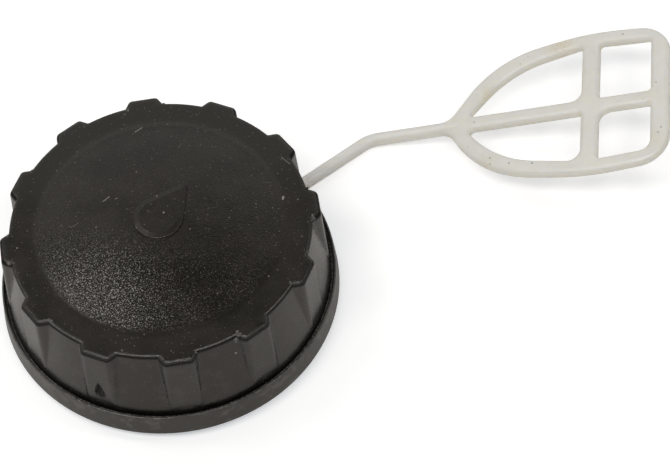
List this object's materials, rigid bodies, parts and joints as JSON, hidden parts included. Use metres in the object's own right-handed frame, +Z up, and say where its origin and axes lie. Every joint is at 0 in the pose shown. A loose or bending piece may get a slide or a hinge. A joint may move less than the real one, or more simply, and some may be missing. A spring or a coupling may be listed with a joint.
{
  "type": "oil tank cap",
  "caption": "Black screw cap with grip lugs and a raised oil drop, and a light leaf-shaped tether that keeps it on its tank.",
  "frame": {"origin": "on the cap's axis, in the plane of the flange's foot", "axes": "+Z up along the cap's axis through the dome; the strap of the tether leaves between +X and +Y"},
  "size_m": [0.0943, 0.053, 0.0194],
  "materials": {
    "black_plastic": "moulded black nylon, fine grain on the dome",
    "natural_plastic": "natural off-white nylon, slightly stained by oil",
    "gasket_rubber": "smooth oil-proof rubber"
  },
  "bodies": {
    "cap": {"cap_shell": "black_plastic", "sealing_gasket": "gasket_rubber"},
    "tether": {"tether": "natural_plastic"}
  },
  "joints": [
    {"name": "tether_swivel", "type": "hinge", "parent": "cap", "child": "tether", "pos_m": [0, 0, 0.0055], "axis": [0, 0, 1], "continuous": true}
  ]
}
